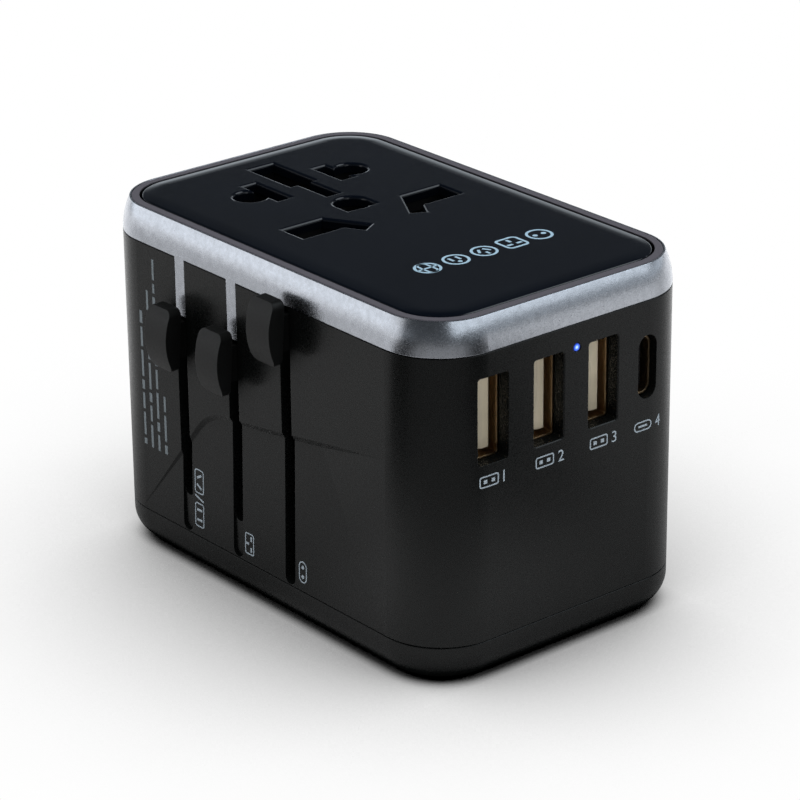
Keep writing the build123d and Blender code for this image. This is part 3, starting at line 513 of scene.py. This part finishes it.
# Heights in the room are the sine of the angle above the horizon.
HORIZON_FADE = (0.30, 0.10)     # the height where the horizon's light begins, and where it is full
ROOM_FADE = (0.48, 0.6)         # between these heights the room's own light falls off
ROOM_LIGHT = (0.065, 0.008)     # its strength under them, and over them


def pointing(azimuth, elevation):
    """The way to a lamp or a camera: 0,0 is in front of the ports, 90,0 is +X."""
    a, e = math.radians(azimuth), math.radians(elevation)
    return Vector((math.sin(a) * math.cos(e), -math.cos(a) * math.cos(e), math.sin(e)))


def softbox(name, azimuth, elevation, distance, width, height, power, colour=(1, 1, 1)):
    """Area light aimed at the object, placed by the same angles as a camera."""
    towards = pointing(azimuth, elevation)
    lamp = bpy.data.lights.new(name, "AREA")
    lamp.shape, lamp.size, lamp.size_y = "RECTANGLE", width, height
    lamp.energy, lamp.color = power, colour
    placed = bpy.data.objects.new(name, lamp)
    bpy.context.scene.collection.objects.link(placed)
    placed.location = CENTRE + towards * distance
    placed.rotation_euler = towards.to_track_quat("Z", "Y").to_euler()
    return placed


def towards_back(tree, direction):
    """How far a direction points away from the front of the studio: 0 at the front, 1 at the back."""
    level = add(tree, "VectorMath", {0: direction, 1: (1, 1, 0)}, operation="MULTIPLY").outputs[0]
    unit = add(tree, "VectorMath", {0: level}, operation="NORMALIZE").outputs[0]
    cosine = add(tree, "VectorMath", {0: unit, 1: BACK}, operation="DOT_PRODUCT").outputs["Value"]
    return remap(tree, cosine, (-1.0, 1.0))


def floor_paper():
    """White paper for the light. The camera sees only the shade near the object, and what is below it."""
    made, tree, shader = material("paper", {"Roughness": 0.9, "Specular IOR Level": 0.0})
    place = add(tree, "TexCoord").outputs["Object"]
    away = add(tree, "VectorMath", {0: place}, operation="LENGTH").outputs["Value"]
    clear = remap(tree, away, (0.06, 0.11), interpolation_type="SMOOTHSTEP")
    # Painted dark reflections: for glossy rays only, the paper darkens by direction, one way close by, another
    # further out.
    around = grey_ramp(tree, towards_back(tree, place), (0.0, 0.2), (0.07, 0.15), (0.14, 0.02), (0.29, 0.02),
                       (0.34, 0.5), (0.6, 0.34), (0.9, 0.8))
    close = grey_ramp(tree, towards_back(tree, place), (0.1, 0.6), (0.3, 0.36))
    painted_reflection_dark = remap(tree, clear, target=(close, around))
    in_gloss = add(tree, "LightPath").outputs["Is Glossy Ray"]
    shade = remap(tree, in_gloss, target=(PAPER_WHITE, painted_reflection_dark))
    # Painted shadow: where the object hides the sky, the paper is darker, and what the camera sees through it
    # is too.
    open_sky = add(tree, "AmbientOcclusion", {"Distance": 0.12}, samples=16).outputs["AO"]
    fall = remap(tree, open_sky, (0.3, 1.0), (0.35, 1.0))
    tree.links.new(multiply(tree, shade, fall), shader.inputs["Base Color"])
    shadow = remap(tree, open_sky, (0.27, 0.9))
    camera_sees(tree, add(tree, "BsdfTransparent", {"Color": shadow}), shader, "Material Output")
    return made


def studio_world():
    """A pale backdrop for the camera, and for everything else a dark room with a bright horizon behind."""
    world = bpy.data.worlds.new("studio")
    bpy.context.scene.world = world
    world.use_nodes = True
    tree = world.node_tree
    backdrop = add(tree, "Background", {"Color": (1, 1, 1, 1), "Strength": 1.0})
    room = tree.nodes["Background"]
    direction = add(tree, "TexCoord").outputs["Generated"]
    height = add(tree, "SeparateXYZ", {"Vector": direction}).outputs["Z"]
    low_down = remap(tree, height, HORIZON_FADE, interpolation_type="SMOOTHSTEP")
    around = grey_ramp(tree, towards_back(tree, direction), (0.1, 0.02), (0.38, 0.25), (0.6, 0.5),
                       (0.88, 1.0))
    horizon = multiply(tree, around, low_down)
    room_light = remap(tree, height, ROOM_FADE, ROOM_LIGHT)
    level = add(tree, "Math", {0: horizon, 1: room_light}, operation="ADD").outputs[0]
    tree.links.new(level, room.inputs["Strength"])
    room.inputs["Color"].default_value = ROOM_TINT
    camera_sees(tree, backdrop, room, "World Output")


def build_studio():
    """Four softboxes, the room round them, and the floor."""
    softbox("key", azimuth=-131, elevation=9, distance=0.6, width=0.64, height=0.36, power=0.5)
    overhead = softbox("overhead", azimuth=0, elevation=90, distance=1.6, width=1.4, height=1.4, power=42.0)
    overhead.visible_glossy = False
    softbox("front_right", azimuth=14, elevation=27, distance=0.8, width=1.1, height=0.42, power=1.5,
            colour=(0.88, 0.95, 1.0))
    high_right = softbox("high_right", azimuth=60, elevation=48, distance=0.8, width=0.55, height=0.4,
                         power=1.4, colour=(0.85, 0.94, 1.0))
    high_right.visible_diffuse = False
    studio_world()

    bpy.ops.mesh.primitive_grid_add(size=FLOOR_SIZE, x_subdivisions=2, y_subdivisions=2,
                                    location=(0, 0, -FLOOR_GAP))
    floor = bpy.context.object
    floor.name = "floor"
    floor.data.materials.append(floor_paper())


def place_camera():
    """The photograph's viewing angle: a long lens, above and to the left of the USB ports."""
    azimuth, elevation, roll = -39.52, 22.80, -0.58
    distance, target = 0.49617, Vector((-0.00217, -0.00425, 0.028))
    back, right = pointing(azimuth, elevation), pointing(azimuth + 90, 0)
    up = back.cross(right)
    level = Matrix((right, up, back)).transposed()
    camera = bpy.data.objects.new("camera", bpy.data.cameras.new("camera"))
    camera.data.lens, camera.data.sensor_width = 152.81, 36
    camera.data.clip_start, camera.data.clip_end = 0.01, 20
    camera.matrix_world = Matrix.Translation(target + back * distance) @ (
        level @ Matrix.Rotation(math.radians(roll), 3, "Z")).to_4x4()
    bpy.context.scene.collection.objects.link(camera)
    bpy.context.scene.camera = camera


build_studio()
place_camera()
bpy.context.scene.view_settings.view_transform = "Standard"
